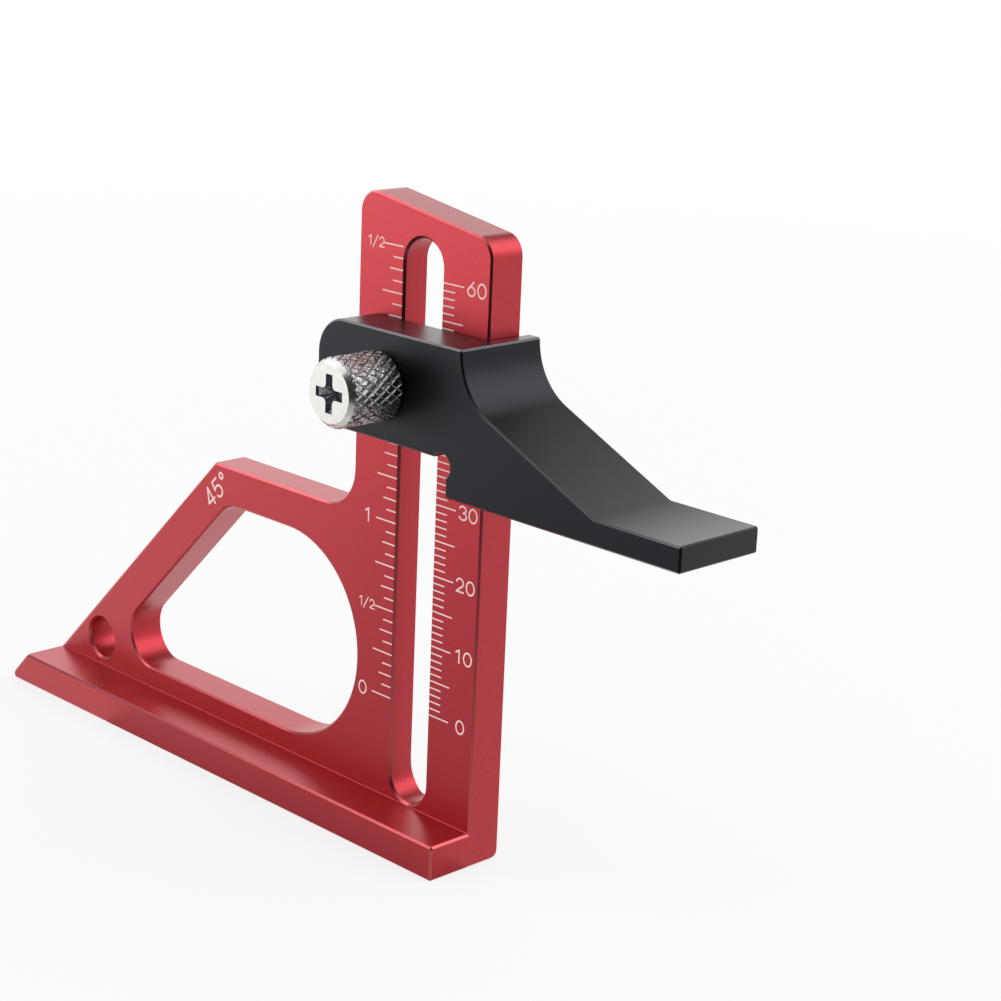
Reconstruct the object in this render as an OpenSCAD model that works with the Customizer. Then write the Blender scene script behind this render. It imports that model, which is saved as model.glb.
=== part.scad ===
// Table saw depth gauge: a foot and an upright beam in one piece, with an arm that slides on the beam
// and is clamped through its slot. Origin: on the base, under the slot's centre line, in the plane of
// the plate's front face. X runs along the foot, Y to the back, Z up.

/* [Foot and plate] */
// Length of the foot, from its slanted tip to the upright measuring edge
foot_len = 101.5; // [85:0.5:120]
// How far the foot stands out in front of the plate
foot_out = 7; // [4:0.5:15]
// Thickness of the foot
foot_t = 5; // [3:0.5:8]
// Thickness of the upright plate
plate_t = 5.8; // [4.5:0.1:10]
// Radius on the foot's sharp tip
tip_r = 0.8; // [0.3:0.1:1.5]
// Radius along the foot's lower back edge
heel_r = 1.2; // [0.4:0.1:2]
// Small break on the foot's front edges
foot_break = 0.28; // [0.1:0.02:0.6]

/* [Beam] */
// Width of the beam that carries the scales
beam_w = 25.4; // [20:0.2:35]
// Height of the beam at its left corner
beam_h = 90.5; // [85:0.5:140]
// Slant of the beam's top edge, in degrees
top_slant = 9; // [0:1:15]
// Radius of the beam's two top corners
beam_corner_r = 3; // [1:0.5:5]
// Length of the shoulder, from the beam to the long slanted edge
shoulder_run = 31.1; // [25:0.1:38]
// Radius of the hollow between the shoulder and the beam
shoulder_r = 6; // [2:0.5:10]

/* [Window] */
// Height of the window's sill above the base
window_sill = 8.2; // [7:0.1:10]
// Width of the rim between the window and the shoulder
window_rim = 5.8; // [4:0.1:12]
// Width of the slanted band between the long edge and the window
window_band = 6.2; // [4:0.1:10]
// Width of the post between the window and the slot
window_post = 7.7; // [4:0.1:10]
// Radius of the window's two left corners
window_corner_r = 5; // [2:0.5:6]

/* [Hanging hole] */
// Diameter of the hole
hole_d = 6.5; // [4:0.5:7]
// Distance of the hole's centre from the foot's tip
hole_from_tip = 16; // [15.5:0.1:17]
// Height of the hole's centre above the base
hole_h = 9.5; // [9:0.1:10]

/* [Slot] */
// Width of the slot
slot_w = 7.2; // [6.4:0.1:9]
// Metal left above the slot, on its centre line
slot_margin = 3.5; // [3:0.1:6]
// Bevel around the slot and the hanging hole in the plate's front face
mouth_bevel = 0.35; // [0.2:0.05:0.6]
// Width of the groove behind the slot, which holds the clamp nut
groove_w = 10.4; // [9.8:0.1:14]
// Depth of the groove
groove_depth = 1.8; // [1:0.1:2.5]

/* [Slider] */
// How far the slider's top edge lies below the beam's left corner, in the position shown
slider_drop = 16.8; // [5:0.1:70]
// Thickness of the slider's front plate
slider_plate_t = 6.9; // [5:0.1:10]
// Height of the slider's front plate
slider_plate_h = 14.8; // [13:0.1:18]
// Radius of the front plate's left corners
slider_corner_r = 5; // [1:0.5:6]
// Reach of the arm past the beam's measuring edge
arm_reach = 40.2; // [35:0.1:70]
// How far the arm stands out behind the plate
arm_behind = 1.5; // [0.5:0.1:4]
// Width of the arm's neck at the top
neck_w = 2.2; // [1.5:0.1:5]
// Radius of the hollow beside the neck
hollow_r = 8.9; // [6:0.1:9.5]
// Slope of the arm's upper side, in degrees
arm_slope = 24; // [20:1:30]
// Thickness of the toe at the arm's end
toe_t = 3.4; // [2.5:0.1:5]
// Radius on the corners of the arm's underside and toe
toe_corner_r = 0.35; // [0.2:0.05:0.6]
// Radius of the reading notch in the corner under the front plate
notch_r = 1.65; // [1:0.05:2.5]
// How far the notch's centre lies from both sides of that corner
notch_in = 0.95; // [0.5:0.05:1.5]

/* [Thumbscrew] */
// Diameter of the knurled head
head_d = 9.5; // [8:0.1:12]
// Length of the head
head_len = 8.7; // [6:0.1:12]
// Diameter of the flat end face
face_d = 7.7; // [6.5:0.1:7.9]
// Depth of the bevel around the end face
bevel_depth = 0.85; // [0.4:0.05:1.2]
// Span of the cross recess
recess_span = 5.2; // [4:0.1:6]
// Width of the cross recess's arms
recess_arm_w = 1.2; // [0.8:0.1:1.6]
// Depth of the cross recess
recess_depth = 1.8; // [1:0.1:3]
// Diameter of the threaded shank, drawn plain
shank_d = 5; // [4:0.5:5]

/* [Clamp nut] */
// Width and height of the nut's flange
nut_size = 10; // [9:0.1:10.1]
// Thickness of the nut's flange
nut_t = 1.5; // [0.8:0.1:1.6]
// Radius of the flange's corners
nut_corner_r = 1.5; // [0.5:0.1:3]
// Height of the boss that keeps the nut square in the slot
boss_h = 9; // [7.5:0.1:9.5]
// Length of the boss
boss_len = 3.4; // [2:0.1:3.4]

/* [Hidden] */
$fn = 96;
// Sliding gap between the slider and the beam, and under the head and the nut's flange
slide_gap = 0.1;
// Radial clearance of the shank in the slider's bore
bore_clearance = 0.25;
// Radial clearance of the shank in the nut, a running fit
thread_clearance = 0.05;
// Gap between the nut's boss and each side of the slot
boss_gap = 0.2;
// Bevel at the knurled barrel's back end
knurl_bevel = 0.3;
// Metal left between the shank's end and the back of the plate
shank_short = 0.4;
// Overrun of every cut past the face that it goes through
over = 1;

right_x = beam_w / 2;
left_x = -beam_w / 2;
tip_x = right_x - foot_len;
// The long edge rises at 45 degrees, so the foot's length beyond the shoulder is the shoulder's height
shoulder_h = foot_len - beam_w - shoulder_run;
slot_r = slot_w / 2;
slot_top_z = beam_h - right_x * tan(top_slant) - slot_margin;
slot_low_z = foot_t + mouth_bevel;
slot_ends = [slot_low_z + slot_r, slot_top_z - slot_r];
groove_y = plate_t - groove_depth;

// The slider's top edge is the pointer: with the arm's underside on the table it reads zero
slider_h = slider_plate_h + foot_t;
slider_top_z = beam_h - slider_drop;
slider_low_z = slider_top_z - slider_plate_h;
arm_low_z = slider_top_z - slider_h;
slider_front_y = -slide_gap - slider_plate_t;
arm_back_y = plate_t + arm_behind;
arm_x = right_x + slide_gap;
toe_x = right_x + arm_reach;
toe_top_z = arm_low_z + toe_t;
screw_z = slider_top_z - slider_plate_h / 2;
head_back_y = slider_front_y - slide_gap;
head_front_y = head_back_y - head_len;

window_top_z = shoulder_h - window_rim;
// The window's right end is a half circle
window_r = (window_top_z - window_sill) / 2;
window_end_x = -slot_r - window_post - window_r;
// The window's slanted side runs parallel to the long edge, one band width inside it
window_slant_x = tip_x + window_band / cos(45);

function unit(v) = v / norm(v);
function half_angle(p, a, b) = acos(unit(a - p) * unit(b - p)) / 2;
// The points where a round corner leaves its two sides, or the corner itself where it is sharp
function cut_points(p, a, b, r) =
    r == 0 ? [p] : [for (q = [a, b]) p + unit(q - p) * r / tan(half_angle(p, a, b))];
function corner_centre(p, a, b, r) = p + unit(unit(a - p) + unit(b - p)) * r / sin(half_angle(p, a, b));
function is_convex(p, a, b) = cross(p - a, b - p) > 0;

// Flat outline through counterclockwise points, each with the radius of its corner
module outline(points, radii) {
    n = len(points);
    before = [for (i = [0 : n - 1]) points[(i + n - 1) % n]];
    after = [for (i = [0 : n - 1]) points[(i + 1) % n]];
    round_corners = [for (i = [0 : n - 1]) if (radii[i] > 0) i];
    difference() {
        union() {
            polygon([for (i = [0 : n - 1]) each cut_points(points[i], before[i], after[i], radii[i])]);
            for (i = round_corners)
                if (is_convex(points[i], before[i], after[i]))
                    translate(corner_centre(points[i], before[i], after[i], radii[i])) circle(radii[i]);
        }
        for (i = round_corners)
            if (!is_convex(points[i], before[i], after[i]))
                translate(corner_centre(points[i], before[i], after[i], radii[i])) circle(radii[i]);
    }
}

// Front view, drawn in X and Z, made solid from y0 back to y1
module front_view(y0, y1) {
    translate([0, y1, 0]) rotate([90, 0, 0]) linear_extrude(y1 - y0) children();
}

// Solid turned about the Y axis through X = 0 at height z, from a profile of [radius, y] points
module turned(profile, z) {
    translate([0, 0, z]) rotate([-90, 0, 0]) rotate_extrude() polygon(profile);
}

module bore_y(r, y0, y1, x, z) {
    translate([x, y0, z]) rotate([-90, 0, 0]) cylinder(h = y1 - y0, r = r);
}

// Upright slot through the plate between the heights in ends, of half width r
module slot_cut(r, ends, y0, y1) {
    for (z = ends) bore_y(r, y0, y1, 0, z);
    translate([-r, y0, ends[0]]) cube([2 * r, y1 - y0, ends[1] - ends[0]]);
}

module frame_front() {
    outline([
        [tip_x, 0],
        [right_x, 0],
        [right_x, beam_h - beam_w * tan(top_slant)],
        [left_x, beam_h],
        [left_x, shoulder_h],
        [tip_x + shoulder_h, shoulder_h],
    ], [tip_r, 0, beam_corner_r, beam_corner_r, shoulder_r, 0]);
}

module frame_side() {
    outline([
        [foot_break - foot_out, 0],
        [plate_t, 0],
        [plate_t, beam_h],
        [0, beam_h],
        [0, foot_t],
        [foot_break - foot_out, foot_t],
        [-foot_out, foot_t - foot_break],
        [-foot_out, foot_break],
    ], [0, heel_r, 0, 0, 0, 0, 0, 0]);
}

module window_front() {
    outline([
        [window_slant_x + window_sill, window_sill],
        [window_end_x, window_sill],
        [window_end_x, window_top_z],
        [window_slant_x + window_top_z, window_top_z],
    ], [window_corner_r, 0, 0, window_corner_r]);
    translate([window_end_x, window_sill + window_r]) circle(window_r);
}

// Bevel around a round hole in the plate's front face
module mouth(r, x, z) {
    translate([x, -over, z]) rotate([-90, 0, 0])
        cylinder(h = mouth_bevel + over, r1 = r + mouth_bevel + over, r2 = r);
}

// Bevel along both straight sides of the slot
module slot_mouth() {
    for (z = slot_ends) mouth(slot_r, 0, z);
    translate([0, 0, slot_ends[0]]) linear_extrude(slot_ends[1] - slot_ends[0])
        polygon([
            [-slot_r - mouth_bevel - over, -over],
            [slot_r + mouth_bevel + over, -over],
            [slot_r, mouth_bevel],
            [-slot_r, mouth_bevel],
        ]);
}

module frame() {
    hole_x = tip_x + hole_from_tip;
    color("#b8393f") difference() {
        intersection() {
            front_view(-foot_out, plate_t) frame_front();
            translate([tip_x, 0, 0]) rotate([90, 0, 90]) linear_extrude(foot_len) frame_side();
        }
        front_view(-over, plate_t + over) window_front();
        slot_cut(slot_r, slot_ends, -over, plate_t + over);
        slot_cut(groove_w / 2, slot_ends, groove_y, plate_t + over);
        bore_y(hole_d / 2, -over, plate_t + over, hole_x, hole_h);
        // The bevels stay above the foot's top, where the plate's face begins
        intersection() {
            union() {
                slot_mouth();
                mouth(hole_d / 2, hole_x, hole_h);
            }
            translate([tip_x, -over, foot_t]) cube([foot_len, plate_t, beam_h]);
        }
    }
}

module slider_front() {
    hollow = [arm_x + neck_w + hollow_r, slider_top_z];
    // Where the sloping upper side leaves the round hollow, and where it meets the toe
    slope_top = hollow - hollow_r * [sin(arm_slope), cos(arm_slope)];
    toe_run = (slope_top.y - toe_top_z) / tan(arm_slope);
    difference() {
        outline([
            [left_x, slider_low_z],
            [arm_x, slider_low_z],
            [arm_x, arm_low_z],
            [toe_x, arm_low_z],
            [toe_x, toe_top_z],
            [slope_top.x + toe_run, toe_top_z],
            slope_top,
            [arm_x + neck_w, slider_top_z],
            [left_x, slider_top_z],
        ], [slider_corner_r, 0, toe_corner_r, toe_corner_r, toe_corner_r, 0, 0, 0, slider_corner_r]);
        translate(hollow) circle(hollow_r);
        translate([arm_x - notch_in, slider_low_z - notch_in]) circle(notch_r);
    }
}

module slider_arm() {
    color("#2b2d31") difference() {
        front_view(slider_front_y, arm_back_y) slider_front();
        // Room for the beam behind the front plate
        translate([left_x - over, -slide_gap, arm_low_z - over])
            cube([arm_x - left_x + over, arm_back_y + slide_gap + over, slider_h + 2 * over]);
        bore_y(shank_d / 2 + bore_clearance, slider_front_y - over, 0, 0, screw_z);
    }
}

module thumb_screw() {
    head_r = head_d / 2;
    color("#d9dadb") difference() {
        turned([
            [0, head_front_y],
            [face_d / 2, head_front_y],
            [head_r, head_front_y + bevel_depth],
            [head_r, head_back_y - knurl_bevel],
            [head_r - knurl_bevel, head_back_y],
            [shank_d / 2, head_back_y],
            [shank_d / 2, plate_t - shank_short],
            [0, plate_t - shank_short],
        ], screw_z);
        // Cross recess: two arms, and a round core that narrows to a point
        for (size = [[recess_span, recess_arm_w], [recess_arm_w, recess_span]])
            translate([-size[0] / 2, head_front_y - over, screw_z - size[1] / 2])
                cube([size[0], recess_depth + over, size[1]]);
        turned([
            [0, head_front_y - over],
            [recess_arm_w, head_front_y - over],
            [recess_arm_w, head_front_y + recess_depth],
            [0, head_front_y + recess_depth + recess_arm_w],
        ], screw_z);
    }
}

module clamp_nut() {
    half = nut_size / 2;
    boss_r = slot_r - boss_gap;
    boss_ends = [screw_z - boss_h / 2 + boss_r, screw_z + boss_h / 2 - boss_r];
    flange_y = groove_y + slide_gap;
    color("#8d9095") difference() {
        union() {
            front_view(flange_y, flange_y + nut_t)
                translate([0, screw_z]) outline(
                    [[-half, -half], [half, -half], [half, half], [-half, half]],
                    [for (i = [0 : 3]) nut_corner_r]);
            slot_cut(boss_r, boss_ends, flange_y - boss_len, flange_y + nut_t / 2);
        }
        bore_y(shank_d / 2 + thread_clearance, flange_y - boss_len - over, plate_t + over, 0, screw_z);
    }
}

frame();
slider_arm();
thumb_screw();
clamp_nut();
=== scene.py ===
import math
import random
from itertools import accumulate

import bmesh
import bpy
from bpy.props import FloatProperty, FloatVectorProperty, IntProperty, PointerProperty
from mathutils import Matrix, Vector, geometry, noise


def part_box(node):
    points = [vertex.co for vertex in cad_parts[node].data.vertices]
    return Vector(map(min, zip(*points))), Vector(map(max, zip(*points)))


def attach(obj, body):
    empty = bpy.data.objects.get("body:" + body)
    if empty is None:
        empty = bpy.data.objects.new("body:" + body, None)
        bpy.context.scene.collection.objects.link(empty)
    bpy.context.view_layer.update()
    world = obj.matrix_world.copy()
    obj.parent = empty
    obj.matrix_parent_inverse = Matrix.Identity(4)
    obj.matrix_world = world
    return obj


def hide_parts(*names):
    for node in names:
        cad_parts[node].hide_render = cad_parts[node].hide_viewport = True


bl_info = {
    "name": "Table saw depth gauge",
    "version": (1, 0, 0),
    "blender": (4, 5, 0),
    "location": "View3D > Sidebar > Depth gauge",
    "description": "Edges, scales, knurled screw and finishes of a table saw depth gauge, and its studio",
    "category": "Object",
}

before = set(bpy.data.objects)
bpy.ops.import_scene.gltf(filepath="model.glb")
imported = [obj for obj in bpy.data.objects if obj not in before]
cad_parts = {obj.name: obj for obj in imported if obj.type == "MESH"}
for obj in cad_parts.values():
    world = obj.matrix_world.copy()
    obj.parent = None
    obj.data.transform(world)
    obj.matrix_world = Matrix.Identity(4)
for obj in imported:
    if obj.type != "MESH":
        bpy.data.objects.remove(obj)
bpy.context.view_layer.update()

MM = 0.001
INCH = 25.4 * MM
# Points closer than this are one point
WELD = 0.001 * MM

SLIDER_LOW, SLIDER_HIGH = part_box("slider_arm")
SCREW_LOW, SCREW_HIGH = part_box("thumb_screw")
SCREW_Z = (SCREW_LOW.z + SCREW_HIGH.z) / 2
# The slider's top edge is the pointer, so the scales start one slider height above the base
SCALE_ZERO = SLIDER_HIGH.z - SLIDER_LOW.z

# Points of a solid closer than this are one point, and faces that turn by less than this are one flat face
SOLID_WELD = 0.002 * MM
FLAT = math.radians(0.5)
# Depth of the groove's floor behind the plate's front face, and how near to it a point counts as on it
GROOVE_FLOOR = 4.0 * MM
GROOVE_NEAR = 0.1 * MM
# A solid's own bevel leans this far to the front or back, as the y part of its normal, and gets the rim's
# material with its painted highlight
RIM_TILT = (0.5, 0.85)

# Size of the dimples that blasting leaves in the aluminium, and how deep and how strong they look
DIMPLE = 0.22 * MM
DIMPLE_DEPTH = 0.012 * MM
DIMPLE_STRENGTH = 0.25
# Roughness of the clear oxide skin over them
SKIN_ROUGHNESS = 0.34
# Roughness of paper, velvet and the floor
MATT = 0.9
# Mottling runs from its darkest to its palest within this share of the noise, either side of the middle
MOTTLE_REACH = 0.2

# Step of the round ends of a drawn line, in degrees
ROUND_STEP = 45
# What the triangulation of flat outlines gives back, and how near points join in it, in millimetres
INSIDE_ONLY = 1
OUTLINE_WELD = 1e-5

# Half the width of a knurling groove, as a share of the distance from groove to groove
GROOVE_HALF_SHARE = 0.18
# Depth of the second set of grooves against the first
CROSS_GROOVE_SHARE = 0.65
# How far wear takes down some of the knurl's points, against the groove's depth
KNURL_WEAR_SHARE = 0.2
KNURL_SEED = 4
# How far the crests' outer sides and the middle of a land lie below its crests, against the groove's depth
LAND_EDGE_SHARE = 0.08
LAND_HOLLOW_SHARE = 0.08
# Width of the recess's outline a third of the way down and at its floor, against its mouth
RECESS_WAIST_SHARE = 0.92
RECESS_FLOOR_SHARE = 0.28
# Depth of the thread's groove against its pitch
THREAD_DEPTH_SHARE = 0.61
# How far the smooth bevel around the face reaches before the knurl's grooves notch it
CLEAN_BEVEL_SHARE = 0.84
# Number of flat sides that make up a turned surface
TURNED_SIDES = 96
# Material slots of the screw; the recess's slot holds darker steel as painted shade
FACED, KNURLED, RECESS_SHADE = range(3)

# Place of each lamp and its width and height, in metres, and what all of them face
LAMPS = {
    "low_strip": ((-0.42, -0.42, 0.08), (0.75, 0.13)),
    "left_softbox": ((-0.42, -0.2, 0.475), (0.45, 0.2)),
    "back_softbox": ((0.35, 0.3, 0.45), (0.6, 0.5)),
    "far_softbox": ((-0.46, 0.39, 0.28), (0.7, 0.22)),
}
LAMPS_AIM = (0, 0, 0.04)
# Distance and height of each card from its near edge outwards, in metres from the origin
FRONT_PROFILE = ((0.045, 0.0001), (0.3, 0.0001), (0.36, 0.05), (0.38, 0.35), (0.27, 0.5))
LEFT_PROFILE = ((0.5, 0.16), (0.4, 0.29))
BACK_PROFILE = ((0.45, 0.36), (0.3, 0.52))
FLOOR_PROFILE = ((0.0, 0.0001), (0.15, 0.0001))
# How far behind the origin the sides of the floor card would meet, which makes its near edge wide
FLOOR_CARD_APEX = 0.1
VELVET_GREY = 0.03
# Grey of the paper on the floor card beside the gauge and at its far edge, painted shade for the metal's
# reflections, and how far out that is
PAPER_NEAR = 0.95
PAPER_FAR = 0.42
PAPER_REACH = 0.15
# The floor's own shading fades to plain white between these distances, and from this share to all of it
FADE_FROM, FADE_TO = 0.15, 0.7
WHITE_SHARE_NEAR = 0.78
# Width of the camera's sensor in millimetres, and the nearest that it sees in metres
SENSOR_WIDTH = 36
NEAREST = 0.01


def linear(colour):
    """Linear red, green and blue of an sRGB hex colour."""
    shares = [int(colour[i:i + 2], 16) / 255 for i in (1, 3, 5)]
    return [c / 12.92 if c <= 0.04045 else ((c + 0.055) / 1.055) ** 2.4 for c in shares]


def length(name, description, millimetres):
    """A length property with its default given in millimetres."""
    return FloatProperty(
        name=name, description=description, default=millimetres * MM, unit="LENGTH", precision=5
    )


def angle(name, description, degrees):
    """An angle property with its default given in degrees."""
    return FloatProperty(
        name=name, description=description, default=math.radians(degrees), subtype="ANGLE"
    )


def brightness(name, of_what, default):
    """A brightness property."""
    return FloatProperty(
        name=name, description=f"Brightness of the {of_what}, where 1 is white", default=default
    )


def colour(name, description, hex_colour):
    """A colour property with its default given as an sRGB hex colour."""
    return FloatVectorProperty(
        name=name, description=description, default=linear(hex_colour), subtype="COLOR", min=0, max=1
    )


class GaugeEdges(bpy.types.PropertyGroup):
    frame_break: length("Frame edges", "Width of the bevel on the frame's sharp edges", 0.28)
    slider_break: length("Slider edges", "Width of the bevel on the slider's sharp edges", 0.25)
    nut_break: length("Nut edges", "Width of the bevel on the nut's sharp edges", 0.15)
    inner_round: length("Inner corners", "Width of the fillet where two faces meet in a hollow corner", 0.05)
    sharpest: angle("Sharp from", "Edges that turn by more than this are bevelled", 55)
    smooth: angle("Smooth to", "Edges that turn by less than this are shaded round", 30)


class GaugeScales(bpy.types.PropertyGroup):
    line_width: length("Line width", "Width of a laser-marked line", 0.21)
    letter_width: length("Numeral line", "Width of the line that the numerals are drawn with", 0.25)
    fraction_width: length("Fraction line", "Width of the line that the half inches are drawn with", 0.18)
    angle_width: length("Angle line", "Width of the line that the angle mark is drawn with", 0.34)
    rise: length("Rise", "How far the marks stand proud of the anodised face", 0.012)
    sink: length("Sink", "How far the marks reach into the face", 0.03)
    from_slot: length(
        "From centre line", "Distance of the marks' inner ends from the slot's centre line", 4.0
    )
    long_mark: length("Long mark", "Length of the marks at 5 and 10 mm, and at quarter inches", 3.75)
    mm_mark: length("Short mark", "Length of the marks at each millimetre", 2.1)
    eighth_mark: length("Eighth inch mark", "Length of the marks at eighths of an inch", 2.4)
    sixteenth_mark: length("Sixteenth inch mark", "Length of the marks at sixteenths of an inch", 1.75)
    mm_end: IntProperty(name="Last millimetre", description="Where the millimetre scale ends", default=60)
    sixteenth_end: IntProperty(name="Last sixteenth", description="Where the inch scale ends", default=41)
    numeral_h: length("Numeral height", "Height of the whole numbers", 1.85)
    fraction_h: length("Fraction height", "Height of the numerals in a half inch", 1.28)
    angle_h: length("Angle height", "Height of the angle mark's numerals", 2.7)
    mm_label_x: length(
        "Millimetre labels", "Centre of the millimetre labels, from the slot's centre line", 10.15
    )
    inch_label_x: length("Inch labels", "Centre of the whole inch labels, from the slot's centre line", -9.75)
    half_label_x: length(
        "Half inch labels", "Centre of the half inch labels, from the slot's centre line", -9.33
    )
    angle_x: length("Angle mark, across", "Middle of the angle mark, from the slot's centre line", -43.43)
    angle_z: length("Angle mark, up", "Height of the angle mark's middle", 40.92)
    angle_squeeze: FloatProperty(
        name="Angle squeeze", description="Width of the angle mark's numerals against the others",
        default=0.9,
    )


class GaugeScrew(bpy.types.PropertyGroup):
    bevel: length("Bevel", "Depth of the bevel around the end face, up to the knurl's grooves", 0.58)
    face_radius: length("Face radius", "Radius of the flat end face", 3.87)
    head_length: length("Head length", "Length of the head, from its face to the slider", 8.7)
    end_bevel: length("End bevel", "Bevel at both ends of the knurled barrel", 0.3)
    knurl_depth: length("Knurl depth", "Depth of the knurl's grooves", 0.27)
    knurl_count: IntProperty(
        name="Knurl grooves", description="Grooves around the barrel in each set", default=23
    )
    knurl_pitch: length("Knurl pitch", "Length of one diamond of the knurl along the barrel", 1.95)
    knurl_tearing: length(
        "Knurl tearing", "Height of the fine roughness that rolling leaves on the knurl", 0.1
    )
    tearing_grain: length("Tearing grain", "Size of that roughness's grains", 0.28)
    recess_span: length("Recess span", "Width across the cross recess", 5.2)
    recess_arm: length("Recess arm", "Width of the recess's arms at the face", 1.32)
    recess_corner: length("Recess corner", "Radius between two arms of the recess", 0.6)
    recess_depth: length("Recess depth", "Depth of the recess's arms", 0.95)
    shank_radius: length("Shank radius", "Outer radius of the thread", 2.5)
    pitch: length("Pitch", "Pitch of the thread", 0.8)


class GaugeColours(bpy.types.PropertyGroup):
    red: colour("Red dye", "Dyed aluminium of the frame", "#b32430")
    # Painted highlight: a paler copy of the red dye on the frame's bevels, so their highlights read pale
    red_rim: colour("Red rim", "Frame's edges, where the dyed skin is thin", "#bd434a")
    # Painted highlight: a paler copy of the black dye on the slider's bevels, so they show light edge lines
    black: colour("Black dye", "Dyed aluminium of the slider", "#10121a")
    black_rim: colour("Black rim", "Slider's edges, where the dyed skin is thin", "#303136")
    mark: colour("Laser mark", "Bleached lines in the anodised face", "#ffd6d0")
    nickel: colour("Nickel", "Nickel plate of the screw's end face", "#e9e7e3")
    # Painted shade: the knurl's nickel is a darker copy of the face's
    knurl: colour("Knurl", "Nickel plate of the knurl, duller from its rolling", "#bcbcbc")
    # Painted shade: darker steel in the recess stands for the shade inside it
    recess: colour("Recess", "Punched steel in the recess, hardly plated", "#7c7d82")
    zinc: colour("Zinc", "Zinc plate of the nut", "#b4b6ba")
    floor: colour("Floor", "Pale floor", "#f9f9f9")


class GaugeStudio(bpy.types.PropertyGroup):
    camera_place: FloatVectorProperty(
        name="Camera", description="Place of the camera", default=(0.21978, -0.20493, 0.13608),
        subtype="TRANSLATION", precision=5,
    )
    camera_turn: angle("Turn", "Turn of the camera to the left of straight back", 44.83)
    camera_tilt: angle("Tilt", "How far the camera looks down", 16.01)
    camera_roll: angle("Roll", "Roll of the camera", 2.457)
    camera_lens: FloatProperty(name="Lens", description="Focal length in millimetres", default=83.49)
    floor_size: length("Floor", "Width of the floor", 4000)
    low_strip: brightness("Low strip", "low strip front left", 2.4)
    left_softbox: brightness("Left soft box", "high left soft box", 2.2)
    back_softbox: brightness("Back soft box", "soft box back right", 1.6)
    far_softbox: brightness("Far soft box", "soft box back left", 0.6)
    ambient: brightness("Ambient", "room on matt surfaces", 0.6)
    front_way: angle("Front card, direction", "Direction of the front card from the gauge", -36)
    front_spread: angle("Front card, spread", "Angle that the front card fills, seen from the gauge", 90)
    left_way: angle("Left card, direction", "Direction of the left card from the gauge", -135)
    left_spread: angle("Left card, spread", "Angle that the left card fills, seen from the gauge", 84)
    back_way: angle("Back card, direction", "Direction of the back card from the gauge", 122)
    back_spread: angle("Back card, spread", "Angle that the back card fills, seen from the gauge", 50)
    floor_way: angle("Floor card, direction", "Direction of the floor card from the gauge", -90)
    floor_spread: angle("Floor card, spread", "Angle that the floor card fills, seen from the gauge", 60)


def settings(name):
    """One group of the gauge's settings."""
    return getattr(bpy.context.scene.depth_gauge, name)


class GaugeSettings(bpy.types.PropertyGroup):
    edges: PointerProperty(type=GaugeEdges)
    scales: PointerProperty(type=GaugeScales)
    screw: PointerProperty(type=GaugeScrew)
    colours: PointerProperty(type=GaugeColours)
    studio: PointerProperty(type=GaugeStudio)


# Materials

def add(tree, kind, links=None, **values):
    """Adds a shader node, sets its properties and sockets, and links its inputs."""
    node = tree.nodes.new(kind)
    for name, value in values.items():
        if hasattr(node, name):
            setattr(node, name, value)
        else:
            node.inputs[name.replace("_", " ")].default_value = value
    for name, source in (links or {}).items():
        tree.links.new(source, node.inputs[name])
    return node


def new_material(name, **values):
    """A material with one Principled shader, whose constant sockets are set from values.

    In a socket's name an underscore stands for a blank.
    """
    material = bpy.data.materials.new(name)
    material.use_nodes = True
    shader = material.node_tree.nodes["Principled BSDF"]
    for key, value in values.items():
        shader.inputs[key.replace("_", " ")].default_value = value
    return material, material.node_tree, shader


def mottled(tree, place, base, amount, size):
    """Colour that wanders around base by a share of amount, over spots of the given size in metres."""
    spots = add(tree, "ShaderNodeTexNoise", {"Vector": place}, Scale=1 / size, Detail=3.0)
    ramp = add(tree, "ShaderNodeValToRGB", {"Fac": spots.outputs["Fac"]})
    for stop, side in zip(ramp.color_ramp.elements, (-1, 1)):
        stop.position = 0.5 + MOTTLE_REACH * side
        stop.color = [min(1, c * (1 + amount * side)) for c in base] + [1]
    return ramp.outputs["Color"]


def anodised(name, dye, roughness, coat, coat_ior):
    """Anodised aluminium, bead blasted before dyeing: coloured metal under a clear oxide skin.

    The dyed pores colour the metal's reflection. The clear skin adds the pale gloss that grows at low
    angles, with a low index because its blasted grain sends much of it astray, and keeps both soft.
    """
    material, tree, shader = new_material(
        name, Metallic=1.0, Roughness=roughness,
        Coat_Weight=coat, Coat_Roughness=SKIN_ROUGHNESS, Coat_IOR=coat_ior,
    )
    place = add(tree, "ShaderNodeTexCoord").outputs["Object"]
    # Blasting beads leave dimples of about 0.1 mm, drawn twice as wide so that they show
    dimples = add(tree, "ShaderNodeTexNoise", {"Vector": place}, Scale=1 / DIMPLE, Detail=2.0)
    bump = add(
        tree, "ShaderNodeBump", {"Height": dimples.outputs["Fac"]},
        Strength=DIMPLE_STRENGTH, Distance=DIMPLE_DEPTH,
    )
    tree.links.new(bump.outputs["Normal"], shader.inputs["Normal"])
    tree.links.new(bump.outputs["Normal"], shader.inputs["Coat Normal"])
    tree.links.new(mottled(tree, place, dye, amount=0.07, size=0.5 * MM), shader.inputs["Base Color"])
    return material


def laser_mark(name, mark):
    """Laser-bleached anodising: the dye is burnt out of the pores, which leaves a dull pale line."""
    material, tree, shader = new_material(name, Roughness=0.6)
    place = add(tree, "ShaderNodeTexCoord").outputs["Object"]
    tree.links.new(mottled(tree, place, mark, amount=0.08, size=0.15 * MM), shader.inputs["Base Color"])
    return material


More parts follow.
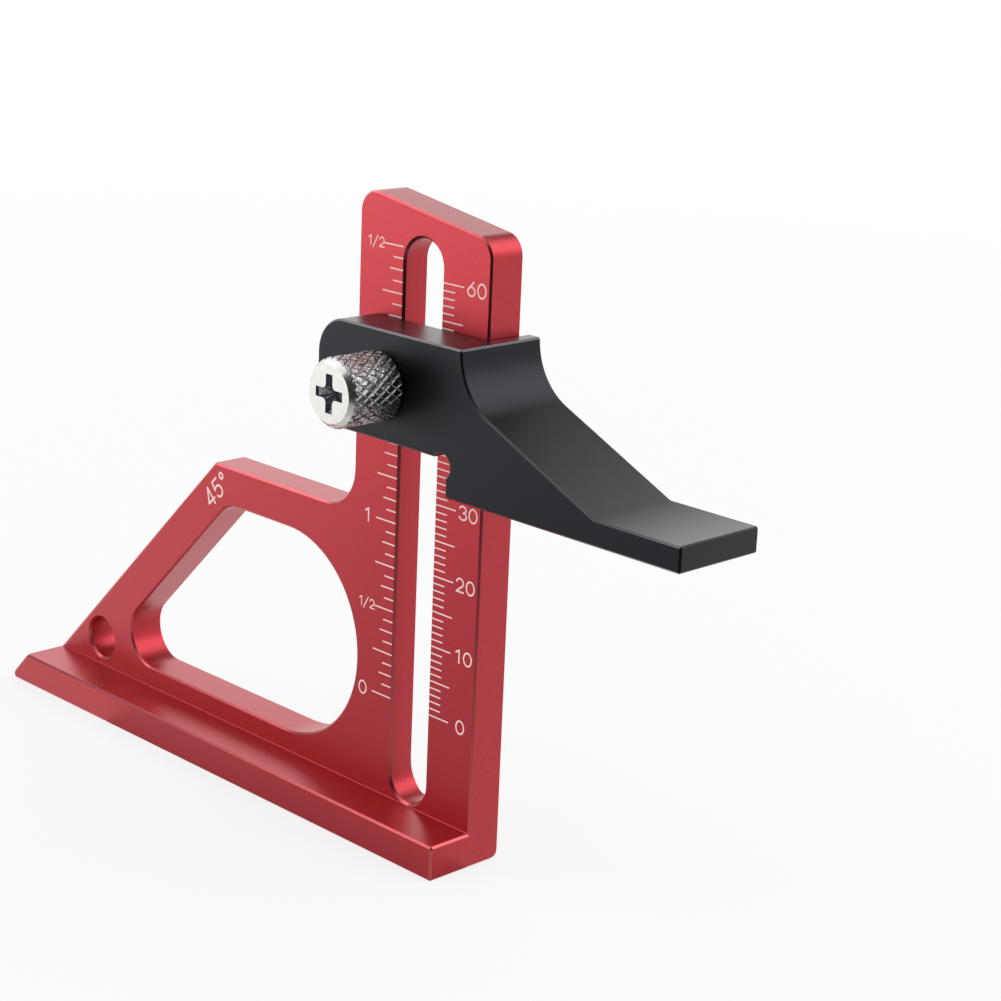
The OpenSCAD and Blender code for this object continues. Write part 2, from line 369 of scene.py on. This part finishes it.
def plated(name, metal, roughness, grain, depth):
    """Plated steel: a bright metal skin, with the fine marks of its cutting or rolling under it."""
    material, tree, shader = new_material(name, Metallic=1.0, Roughness=roughness)
    place = add(tree, "ShaderNodeTexCoord").outputs["Object"]
    marks = add(tree, "ShaderNodeTexNoise", {"Vector": place}, Scale=1 / grain, Detail=4.0)
    bump = add(tree, "ShaderNodeBump", {"Height": marks.outputs["Fac"]}, Strength=1.0, Distance=depth)
    tree.links.new(bump.outputs["Normal"], shader.inputs["Normal"])
    tree.links.new(mottled(tree, place, metal, amount=0.06, size=0.4 * MM), shader.inputs["Base Color"])
    return material


# Pieces

def finish_piece(piece, body, slot, *nodes):
    """Lets a piece ride on its body and stand for the nodes that it shows in more detail."""
    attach(piece, body)
    if nodes:
        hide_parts(*nodes)


def new_piece(name, bm, *materials):
    """An object in the scene with the mesh from bm and the materials in its slots."""
    mesh = bpy.data.meshes.new(name)
    bm.to_mesh(mesh)
    bm.free()
    for material in materials:
        mesh.materials.append(material)
    piece = bpy.data.objects.new(name, mesh)
    bpy.context.scene.collection.objects.link(piece)
    return piece


def shade(bm, angle):
    """Smooth faces, with a sharp line wherever two of them turn by more than the angle."""
    for face in bm.faces:
        face.smooth = True
    for edge in bm.edges:
        edge.smooth = not edge.is_manifold or edge.calc_face_angle() < angle


def even_normals(piece):
    """Keeps flat faces flat beside their round edges."""
    modifier = piece.modifiers.new("even_normals", "WEIGHTED_NORMAL")
    modifier.keep_sharp = True
    # The highest weight, so that only the larger faces count
    modifier.weight = 100


def sharp_edges(bm, sharpest, convex):
    """Edges that turn by more than an angle, either the outer ones or the ones in hollow corners.

    The mesh is in millimetres. The edges in the groove behind the slot stay sharp, as its cutter leaves them.
    """
    return [
        edge for edge in bm.edges
        if edge.is_manifold and edge.is_convex == convex and edge.calc_face_angle() > sharpest
        and not all(abs(v.co.y * MM - GROOVE_FLOOR) < GROOVE_NEAR for v in edge.verts)
    ]


def machined(node, name, width, face_material, rim_highlight_material):
    """The node's own solid with its sharp edges broken, worked in millimetres so that the bevel stays exact.

    Every narrow bevel, also the solid's own ones around its front and back, gets the rim's material, which on
    the frame and slider is a paler copy of the dye that paints a highlight on the edges.
    """
    edges = settings("edges")
    bm = bmesh.new()
    bm.from_mesh(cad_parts[node].data)
    bmesh.ops.scale(bm, vec=[1 / MM] * 3, verts=bm.verts)
    bmesh.ops.remove_doubles(bm, verts=bm.verts, dist=SOLID_WELD / MM)
    bmesh.ops.dissolve_limit(bm, angle_limit=FLAT, verts=bm.verts, edges=bm.edges)
    bm.normal_update()
    for face in bm.faces:
        face.material_index = int(RIM_TILT[0] < abs(face.normal.y) < RIM_TILT[1])
    for size, convex in ((width, True), (edges.inner_round, False)):
        made = bmesh.ops.bevel(
            bm, geom=sharp_edges(bm, edges.sharpest, convex), offset=size / MM, offset_type="OFFSET",
            segments=1, profile=0.5, affect="EDGES", clamp_overlap=False, loop_slide=False,
        )
        # Outer bevels get the rim's material, which carries the painted highlight; fillets in hollow corners
        # keep the face's
        for face in made["faces"]:
            face.material_index = int(convex)
        bm.normal_update()
    bmesh.ops.scale(bm, vec=[MM] * 3, verts=bm.verts)
    shade(bm, edges.smooth)
    piece = new_piece(name, bm, face_material, rim_highlight_material)
    even_normals(piece)
    return piece


def stroke(points, width, closed=False):
    """Outlines that together make up a line with round ends through points of [x, z]."""
    points = [Vector(p) for p in points]
    if closed:
        points.append(points[0])
    outlines = []
    for here, there in zip(points, points[1:]):
        way = (there - here).normalized() * width / 2
        ends = ((here, 90), (there, -90))
        outlines.append([
            middle + Matrix.Rotation(math.radians(first + turn), 2) @ way
            for middle, first in ends for turn in range(0, 181, ROUND_STEP)
        ])
    return outlines


def lay_slab(bm, outlines):
    """Lays a closed thin slab over the union of flat outlines on the frame's front face."""
    marks = settings("scales")
    corners = [corner / MM for outline in outlines for corner in outline]
    ends = list(accumulate(len(outline) for outline in outlines))
    loops = [list(range(end - len(outline), end)) for outline, end in zip(outlines, ends)]
    points, _, faces, _, _, owners = geometry.delaunay_2d_cdt(corners, [], loops, INSIDE_ONLY, OUTLINE_WELD)
    faces = [face for face, owner in zip(faces, owners) if owner]
    front = [bm.verts.new((p.x * MM, -marks.rise, p.y * MM)) for p in points]
    back = [bm.verts.new((p.x * MM, marks.sink, p.y * MM)) for p in points]
    edges = {pair for face in faces for pair in zip(face, face[1:] + face[:1])}
    for face in faces:
        bm.faces.new([front[i] for i in face])
        bm.faces.new([back[i] for i in reversed(face)])
    for a, b in sorted(edges):
        if (b, a) not in edges:
            bm.faces.new((front[b], front[a], back[a], back[b]))


def arc(centre, size, start, end, steps):
    """Points on an ellipse of half widths in size, from one angle in degrees to another."""
    turns = [math.radians(start + (end - start) * i / steps) for i in range(steps + 1)]
    return [(centre[0] + size[0] * math.cos(t), centre[1] + size[1] * math.sin(t)) for t in turns]


# Each numeral is drawn as strokes in a cell as high as 1, as shares of its height; True closes a stroke
NUMERALS = {
    "0": [(arc((0.4, 0.5), (0.4, 0.5), 90, 435, 23), True)],
    "1": [([(0.08, 0.78), (0.42, 1), (0.42, 0)], False)],
    "2": [(arc((0.37, 0.68), (0.35, 0.32), 170, -35, 12) + [(0.02, 0), (0.76, 0)], False)],
    "3": [(
        arc((0.36, 0.745), (0.33, 0.255), 160, -80, 10) + arc((0.38, 0.27), (0.38, 0.27), 75, -160, 12),
        False,
    )],
    "4": [([(0.62, 0.26), (0.0, 0.26), (0.56, 1), (0.56, 0)], False), ([(0.4, 0.26), (0.76, 0.26)], False)],
    "5": [([(0.68, 1), (0.14, 1), (0.07, 0.52)] + arc((0.37, 0.32), (0.35, 0.32), 125, -155, 14), False)],
    "6": [(arc((0.38, 0.32), (0.36, 0.32), 90, 435, 20), True), ([(0.58, 1), (0.09, 0.46)], False)],
    "/": [([(0.0, -0.2), (0.72, 1.1)], False)],
    "°": [(arc((0.22, 0.84), (0.17, 0.17), 90, 435, 15), True)],
}
NUMERAL_WIDTH_SHARES = {
    "0": 0.8, "1": 0.5, "2": 0.78, "3": 0.76, "4": 0.76, "5": 0.72, "6": 0.76, "/": 0.72, "°": 0.42,
}
# Space between two numerals, as a share of their height
NUMERAL_GAP_SHARE = 0.27
# Width of each numeral's cell on the millimetre scale, so that all of them stand alike
MM_CELL_SHARE = 0.78


def write(bm, text, centre, height, width, turn=0.0, cell_share=None, squeeze=1.0):
    """Draws text with its middle at centre, [x, z] on the front face, turned by an angle."""
    cells = [cell_share or NUMERAL_WIDTH_SHARES[c] for c in text]
    left = -(sum(cells) + NUMERAL_GAP_SHARE * (len(text) - 1)) / 2
    spin = Matrix.Rotation(turn, 2)
    outlines = []
    for character, cell in zip(text, cells):
        inset = (cell - NUMERAL_WIDTH_SHARES[character]) / 2
        for line, closed in NUMERALS[character]:
            points = [spin @ Vector(((left + inset + x) * squeeze, z - 0.5)) * height for x, z in line]
            outlines += stroke([Vector(centre) + p for p in points], width, closed)
        left += cell + NUMERAL_GAP_SHARE
    lay_slab(bm, outlines)


def scale_lines():
    """The marks of both scales: millimetres right of the slot and sixteenths of an inch left of it."""
    marks = settings("scales")
    lines = []
    for i in range(marks.mm_end + 1):
        reach = marks.long_mark if i % 5 == 0 else marks.mm_mark
        lines.append((1, i * MM, reach))
    for i in range(marks.sixteenth_end):
        reach = marks.long_mark if i % 4 == 0 else marks.eighth_mark if i % 2 == 0 else marks.sixteenth_mark
        lines.append((-1, i * INCH / 16, reach))
    bm = bmesh.new()
    for side, height, reach in lines:
        z = SCALE_ZERO + height
        ends = [(side * marks.from_slot, z), (side * (marks.from_slot + reach), z)]
        lay_slab(bm, stroke(ends, marks.line_width))
    return bm


def scale_numbers():
    """The numerals of both scales and the angle mark beside the long edge."""
    marks = settings("scales")
    width = marks.letter_width
    bm = bmesh.new()
    for i in range(0, marks.mm_end + 1, 10):
        place = (marks.mm_label_x, SCALE_ZERO + i * MM)
        write(bm, str(i), place, marks.numeral_h, width, cell_share=MM_CELL_SHARE)
    for i in range(3):
        write(bm, str(i), (marks.inch_label_x, SCALE_ZERO + i * INCH), marks.numeral_h, width)
        half = SCALE_ZERO + (i + 0.5) * INCH
        write(bm, "1/2", (marks.half_label_x, half), marks.fraction_h, marks.fraction_width)
    middle = (marks.angle_x, marks.angle_z)
    write(bm, "45°", middle, marks.angle_h, marks.angle_width, math.radians(45), squeeze=marks.angle_squeeze)
    return bm


def turned_rings(bm, profile):
    """Rings of points turned about the screw's axis, from [radius, y] points."""
    turns = [2 * math.pi * i / TURNED_SIDES for i in range(TURNED_SIDES)]
    return [
        [bm.verts.new((radius * math.cos(t), y, SCREW_Z + radius * math.sin(t))) for t in turns]
        for radius, y in profile
    ]


def thread_profile(sizes, back):
    """Outline of the shank, [radius, y], with a groove at each pitch and a bevelled end."""
    outer, root = sizes.shank_radius, sizes.shank_radius - sizes.pitch * THREAD_DEPTH_SHARE
    end = SCREW_HIGH.y
    profile = [(outer, back)]
    turns = int((end - back - sizes.pitch) / sizes.pitch)
    for i in range(turns):
        y = back + (i + 0.5) * sizes.pitch
        profile += [(outer, y), (root, y + sizes.pitch / 2), (outer, y + sizes.pitch)]
    return profile + [(outer, end - sizes.pitch / 2), (root, end)]


def join_rings(bm, rings):
    """Walls from each ring to the next; returns their faces."""
    walls = []
    for here, there in zip(rings, rings[1:]):
        count = len(here)
        for i in range(count):
            walls.append(bm.faces.new((here[i], there[i], there[(i + 1) % count], here[(i + 1) % count])))
    return walls


def cross_outline(span, arm, corner):
    """Outline of a cross recess, with rounded corners between its arms."""
    half, tip = arm / 2, span / 2
    centre = half + corner
    quarter = [(tip, -half), (tip, half), *arc((centre, centre), (corner, corner), 270, 180, 6)]
    return [(x * c - y * s, x * s + y * c) for c, s in ((1, 0), (0, 1), (-1, 0), (0, -1)) for x, y in quarter]


def fill_between(bm, outer, inner):
    """Flat ring of faces between two loops, one inside the other."""
    corners = [*outer, *inner]
    loops = [[v.co.xz.to_3d() for v in loop] for loop in (outer, inner)]
    for triangle in geometry.tessellate_polygon(loops):
        bm.faces.new([corners[i] for i in triangle])


def cut_recess(bm, rim, y, sizes):
    """Flat end face inside the rim, and the tapered walls and pointed floor of its cross recess.

    Returns the faces of the recess.
    """
    outline = cross_outline(sizes.recess_span, sizes.recess_arm, sizes.recess_corner)
    levels = ((1, 0), (RECESS_WAIST_SHARE, sizes.recess_depth / 3), (RECESS_FLOOR_SHARE, sizes.recess_depth))
    walls = []
    for share, depth in levels:
        walls.append([bm.verts.new((x * share, y + depth, SCREW_Z + z * share)) for x, z in outline])
    fill_between(bm, rim, walls[0])
    recess = join_rings(bm, walls)
    tip = bm.verts.new((0, y + sizes.recess_depth + sizes.recess_arm / 2, SCREW_Z))
    last = walls[-1]
    for i, corner in enumerate(last):
        recess.append(bm.faces.new((corner, tip, last[(i + 1) % len(last)])))
    return recess


def land_profile(half):
    """Places across a land of the knurl, from 0 to 1, each with its depth as a share of the groove's."""
    quarter = (half + 0.5) / 2
    rise = [(0, 1), (half / 2, 0.5), (half, LAND_EDGE_SHARE), (quarter, 0)]
    return rise + [(0.5, LAND_HOLLOW_SHARE)] + [(1 - place, depth) for place, depth in reversed(rise)]


def roll_knurl(bm, sizes, y_front, y_back, radius):
    """Diamond knurl: two crossing sets of grooves rolled into the barrel, one deeper than the other.

    The lands between the grooves have two low crests, and the fine tearing that rolling leaves on them.
    """
    deep = sizes.knurl_depth
    across = land_profile(GROOVE_HALF_SHARE)
    along = land_profile(GROOVE_HALF_SHARE * CROSS_GROOVE_SHARE)
    rng = random.Random(KNURL_SEED)

    def point(i, j, worn, a, b):
        """Point of diamond i, j at places a and b in it, each given with the depth of its groove there."""
        turn = math.pi * (i + j + a[0] + b[0]) / sizes.knurl_count
        y = y_front + sizes.knurl_pitch * (i - j + a[0] - b[0]) / 2
        way = Vector((math.cos(turn), math.sin(turn)))
        depth = deep * max(b[1], CROSS_GROOVE_SHARE * a[1]) + worn * (1 - a[1]) * (1 - b[1])
        place = Vector((way.x * radius, y, way.y * radius))
        depth += sizes.knurl_tearing * (0.5 + noise.noise(place / sizes.tearing_grain))
        reach = way * (radius - max(0, depth))
        return bm.verts.new((reach.x, y, SCREW_Z + reach.y))

    for step in range(math.ceil(2 * (y_back - y_front) / sizes.knurl_pitch) + 1):
        for k in range(sizes.knurl_count):
            i = k + (step + step % 2) // 2
            j = i - step
            worn = deep * rng.uniform(0, KNURL_WEAR_SHARE)
            rows = [[point(i, j, worn, a, b) for b in across] for a in along]
            for here, there in zip(rows, rows[1:]):
                for n in range(len(here) - 1):
                    bm.faces.new((here[n], there[n], there[n + 1], here[n + 1]))
    bmesh.ops.remove_doubles(bm, verts=bm.verts, dist=WELD)


def trim_barrel(bm, sizes, y_front, y_back, radius):
    """Cuts the knurled barrel to its length, and bevels its two ends."""
    for y, side, clear in (
        (y_front, -1, True), (y_back, 1, True),
        (y_front + sizes.end_bevel, -1, False), (y_back - sizes.end_bevel, 1, False),
    ):
        bmesh.ops.bisect_plane(
            bm, geom=[*bm.verts, *bm.edges, *bm.faces], dist=WELD / 10,
            plane_co=(0, y, SCREW_Z), plane_no=(0, side, 0), clear_outer=clear,
        )
    axis = Vector((0, SCREW_Z))
    for v in bm.verts:
        from_axis = v.co.xz - axis
        allowed = radius - max(0, sizes.end_bevel - min(v.co.y - y_front, y_back - v.co.y))
        if from_axis.length > allowed:
            v.co.xz = axis + from_axis.normalized() * allowed


def open_end(bm, y):
    """The points of the barrel's open end at y, in order around the axis."""
    loop = [v for v in bm.verts if v.is_boundary and abs(v.co.y - y) < WELD]
    return sorted(loop, key=lambda v: math.atan2(v.co.z - SCREW_Z, v.co.x))


def build_screw(bm, sizes):
    """The whole screw: knurled head with its face and recess, and the threaded shank."""
    radius = (SCREW_HIGH.x - SCREW_LOW.x) / 2
    front = SCREW_LOW.y
    back = front + sizes.head_length
    roll_knurl(bm, sizes, front + sizes.bevel, back, radius)
    trim_barrel(bm, sizes, front + sizes.bevel, back, radius)
    knurled = set(bm.faces)
    knurl_front, knurl_back = open_end(bm, front + sizes.bevel), open_end(bm, back)
    bevel = sizes.bevel * CLEAN_BEVEL_SHARE
    rings = turned_rings(bm, [(sizes.face_radius, front), (sizes.face_radius + bevel, front + bevel)])
    join_rings(bm, rings)
    face_rim = rings[0]
    fill_between(bm, knurl_front, rings[1])
    recess = cut_recess(bm, face_rim, front, sizes)
    stem = turned_rings(bm, thread_profile(sizes, back))
    join_rings(bm, stem)
    fill_between(bm, knurl_back, stem[0])
    bm.faces.new(stem[-1])
    for face in bm.faces:
        face.material_index = KNURLED if face in knurled else FACED
    # The recess gets the darker steel, painted shade
    for face in recess:
        face.material_index = RECESS_SHADE


# Operators

class GAUGE_OT_frame(bpy.types.Operator):
    """Make the red frame: foot, plate and beam with broken edges"""
    bl_idname = "gauge.frame"
    bl_label = "Frame"

    def execute(self, context):
        colours = settings("colours")
        face = anodised("red_anodised_aluminium", colours.red, roughness=0.43, coat=0.8, coat_ior=1.4)
        # The rim material, a paler copy of the red dye, paints a highlight on the frame's bevels
        rim = anodised("red_anodised_painted_highlight", colours.red_rim, roughness=0.35, coat=1.0, coat_ior=1.5)
        piece = machined("frame", "foot_and_beam", settings("edges").frame_break, face, rim)
        finish_piece(piece, "frame", "red_anodised", "frame")
        return {"FINISHED"}


class GAUGE_OT_scales(bpy.types.Operator):
    """Mark the millimetre and inch scales and the angle on the frame's front"""
    bl_idname = "gauge.scales"
    bl_label = "Scales"

    def execute(self, context):
        material = laser_mark("laser_marked_anodising", settings("colours").mark)
        for name, bm in (("scale_lines", scale_lines()), ("scale_numbers", scale_numbers())):
            finish_piece(new_piece(name, bm, material), "frame", "red_anodised")
        return {"FINISHED"}


class GAUGE_OT_slider(bpy.types.Operator):
    """Make the black slider with its arm"""
    bl_idname = "gauge.slider"
    bl_label = "Slider"

    def execute(self, context):
        colours = settings("colours")
        face = anodised("black_anodised_aluminium", colours.black, roughness=0.42, coat=1.0, coat_ior=1.27)
        # The rim material, a paler copy of the black dye, paints a highlight on the slider's bevels
        rim = anodised("black_anodised_painted_highlight", colours.black_rim, roughness=0.35, coat=1.0, coat_ior=1.5)
        piece = machined("slider_arm", "slider_with_arm", settings("edges").slider_break, face, rim)
        finish_piece(piece, "slider", "black_anodised", "slider_arm")
        return {"FINISHED"}


class GAUGE_OT_screw(bpy.types.Operator):
    """Make the knurled thumbscrew with its cross recess"""
    bl_idname = "gauge.screw"
    bl_label = "Thumbscrew"

    def execute(self, context):
        colours = settings("colours")
        materials = (
            plated("nickel_plated_face", colours.nickel, roughness=0.24, grain=0.5 * MM, depth=0.001 * MM),
            # Darker than the face's nickel: painted shade on the knurl
            plated("nickel_plated_knurl", colours.knurl, roughness=0.3, grain=0.28 * MM, depth=0.06 * MM),
            # Darker steel: painted shade in the recess
            plated("recess_painted_shade_steel", colours.recess, roughness=0.3, grain=0.4 * MM, depth=0.1 * MM),
        )
        bm = bmesh.new()
        build_screw(bm, settings("screw"))
        bmesh.ops.recalc_face_normals(bm, faces=bm.faces)
        shade(bm, settings("edges").smooth)
        piece = new_piece("knurled_thumbscrew", bm, *materials)
        finish_piece(piece, "screw", "nickel_screw", "thumb_screw")
        return {"FINISHED"}


class GAUGE_OT_nut(bpy.types.Operator):
    """Make the clamp nut behind the slot"""
    bl_idname = "gauge.nut"
    bl_label = "Clamp nut"

    def execute(self, context):
        zinc = settings("colours").zinc
        material = plated("zinc_plated_steel", zinc, roughness=0.35, grain=0.5 * MM, depth=0.006 * MM)
        piece = machined("clamp_nut", "clamp_nut_dressed", settings("edges").nut_break, material, material)
        finish_piece(piece, "nut", "steel_nut", "clamp_nut")
        return {"FINISHED"}


def softbox(name, place, target, size, brightness):
    """Soft box whose brightness is given as that of its face, where 1 is white."""
    light = bpy.data.lights.new(name, "AREA")
    light.shape = "RECTANGLE"
    light.size, light.size_y = size
    light.energy = brightness * math.pi * size[0] * size[1]
    box = bpy.data.objects.new(name, light)
    box.location = place
    box.rotation_mode = "QUATERNION"
    box.rotation_quaternion = (Vector(target) - Vector(place)).to_track_quat("-Z", "Y")
    bpy.context.scene.collection.objects.link(box)


def seen_directly(tree):
    """1 for what the camera sees, also in a reflection or through something clear, and 0 for other light."""
    path = add(tree, "ShaderNodeLightPath").outputs
    seen = path["Is Camera Ray"]
    for ray in ("Is Glossy Ray", "Is Transmission Ray"):
        seen = add(tree, "ShaderNodeMath", {0: seen, 1: path[ray]}, operation="MAXIMUM").outputs[0]
    return seen


def room(studio):
    """Pale room: white to the camera and to what reflects it, and softer on matt surfaces."""
    world = bpy.data.worlds.new("pale_room")
    bpy.context.scene.world = world
    world.use_nodes = True
    tree = world.node_tree
    tree.nodes.clear()
    seen = seen_directly(tree)
    ambient = add(tree, "ShaderNodeBackground", Color=(1, 1, 1, 1), Strength=studio.ambient)
    white = add(tree, "ShaderNodeBackground", Color=(1, 1, 1, 1), Strength=1.0)
    both = add(tree, "ShaderNodeMixShader", {0: seen, 1: ambient.outputs[0], 2: white.outputs[0]})
    add(tree, "ShaderNodeOutputWorld", {"Surface": both.outputs[0]})


def card(name, material, way, spread, profile, apex=0):
    """Card beside the gauge, on the table or above it, that darkens what faces that way.

    Its sides fan out by the spread from a point that lies apex behind the origin. Only reflections see
    it, so it leaves the floor and its shadow alone.
    """
    bm = bmesh.new()
    out = Vector((math.cos(way), math.sin(way)))
    across = Vector((-out.y, out.x)) * math.tan(spread / 2)
    rows = []
    for distance, height in profile:
        sides = [out * distance + across * (side * (distance + apex)) for side in (-1, 0, 1)]
        rows.append([bm.verts.new((*p, height)) for p in sides])
    for here, there in zip(rows, rows[1:]):
        for i in range(len(here) - 1):
            bm.faces.new((here[i], here[i + 1], there[i + 1], there[i]))
    sheet = new_piece(name, bm, material)
    sheet.visible_camera = sheet.visible_diffuse = sheet.visible_shadow = False


def velvet(name, shade_of_grey):
    """Matt card that throws back only a little light, so what reflects it stays dark."""
    base = (*[shade_of_grey] * 3, 1)
    return new_material(name, Base_Color=base, Roughness=MATT, Specular_IOR_Level=0.0)[0]


def graded_paper(name, near, far, reach):
    """Matt paper that only reflections see, graded from pale beside the foot to grey at its far edge: painted
    shade in the metal's reflections.
    """
    material, tree, shader = new_material(name, Roughness=MATT, Specular_IOR_Level=0.0)
    place = add(tree, "ShaderNodeTexCoord").outputs["Object"]
    forward = add(tree, "ShaderNodeSeparateXYZ", {"Vector": place}).outputs["Y"]
    grey = add(
        tree, "ShaderNodeMapRange", {"Value": forward},
        From_Min=0.0, From_Max=-reach, To_Min=near, To_Max=far,
    ).outputs["Result"]
    tree.links.new(grey, shader.inputs["Base Color"])
    return material


def floor_material(pale):
    """Matt white card: white to the camera far out, and shaded by the gauge where it stands."""
    material, tree, shader = new_material(
        "matt_white_card", Base_Color=(*pale, 1), Roughness=MATT, Specular_IOR_Level=0.0
    )
    place = add(tree, "ShaderNodeTexCoord").outputs["Object"]
    out = add(tree, "ShaderNodeVectorMath", {0: place}, operation="LENGTH").outputs["Value"]
    share = add(
        tree, "ShaderNodeMapRange", {"Value": out}, interpolation_type="SMOOTHSTEP",
        From_Min=FADE_FROM, From_Max=FADE_TO, To_Min=WHITE_SHARE_NEAR, To_Max=1.0,
    ).outputs["Result"]
    seen = seen_directly(tree)
    factor = add(tree, "ShaderNodeMath", {0: seen, 1: share}, operation="MULTIPLY").outputs[0]
    glow = add(tree, "ShaderNodeEmission", Strength=1.0).outputs[0]
    mixed = add(tree, "ShaderNodeMixShader", {0: factor, 1: shader.outputs[0], 2: glow}).outputs[0]
    tree.links.new(mixed, tree.nodes["Material Output"].inputs["Surface"])
    return material


def place_cards(studio):
    """The three dark cards and the graded one, which shade the metal's reflections."""
    black = velvet("black_velvet", VELVET_GREY)
    paper = graded_paper("graded_paper", PAPER_NEAR, PAPER_FAR, PAPER_REACH)
    card("front_card", black, studio.front_way, studio.front_spread, FRONT_PROFILE)
    card("left_card", black, studio.left_way, studio.left_spread, LEFT_PROFILE)
    card("back_card", black, studio.back_way, studio.back_spread, BACK_PROFILE)
    card("floor_card", paper, studio.floor_way, studio.floor_spread, FLOOR_PROFILE, FLOOR_CARD_APEX)


def set_camera(scene, studio):
    """The camera at the photograph's angle."""
    data = bpy.data.cameras.new("camera")
    data.lens = studio.camera_lens
    data.sensor_width = SENSOR_WIDTH
    data.clip_start = NEAREST
    camera = bpy.data.objects.new("camera", data)
    look = (Matrix.Rotation(studio.camera_turn, 4, "Z")
            @ Matrix.Rotation(math.pi / 2 - studio.camera_tilt, 4, "X")
            @ Matrix.Rotation(studio.camera_roll, 4, "Z"))
    camera.matrix_world = Matrix.Translation(studio.camera_place) @ look
    scene.collection.objects.link(camera)
    scene.camera = camera


class GAUGE_OT_studio(bpy.types.Operator):
    """Make the floor, the lamps, the cards, the room and the camera"""
    bl_idname = "gauge.studio"
    bl_label = "Studio"

    def execute(self, context):
        studio = settings("studio")
        bm = bmesh.new()
        bmesh.ops.create_grid(bm, x_segments=1, y_segments=1, size=studio.floor_size / 2)
        floor = new_piece("floor", bm, floor_material(settings("colours").floor))
        for name, (place, size) in LAMPS.items():
            softbox(name, place, LAMPS_AIM, size, getattr(studio, name))
        place_cards(studio)
        room(studio)
        set_camera(context.scene, studio)
        context.scene.view_settings.view_transform = "Standard"
        return {"FINISHED"}


class GAUGE_PT_panel(bpy.types.Panel):
    """Lists the gauge's pieces"""
    bl_idname = "GAUGE_PT_panel"
    bl_label = "Depth gauge"
    bl_space_type = "VIEW_3D"
    bl_region_type = "UI"
    bl_category = "Depth gauge"

    def draw(self, context):
        for operator in OPERATORS:
            self.layout.operator(operator.bl_idname)


GROUPS = (GaugeEdges, GaugeScales, GaugeScrew, GaugeColours, GaugeStudio, GaugeSettings)
OPERATORS = (GAUGE_OT_frame, GAUGE_OT_scales, GAUGE_OT_slider, GAUGE_OT_screw, GAUGE_OT_nut, GAUGE_OT_studio)


def register():
    for item in (*GROUPS, *OPERATORS, GAUGE_PT_panel):
        bpy.utils.register_class(item)
    bpy.types.Scene.depth_gauge = PointerProperty(type=GaugeSettings)


def unregister():
    del bpy.types.Scene.depth_gauge
    for item in (GAUGE_PT_panel, *reversed(OPERATORS), *reversed(GROUPS)):
        bpy.utils.unregister_class(item)


def main():
    """Registers the add-on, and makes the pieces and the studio."""
    register()
    for operator in OPERATORS:
        group, name = operator.bl_idname.split(".")
        getattr(getattr(bpy.ops, group), name)()


if __name__ == "__main__":
    main()
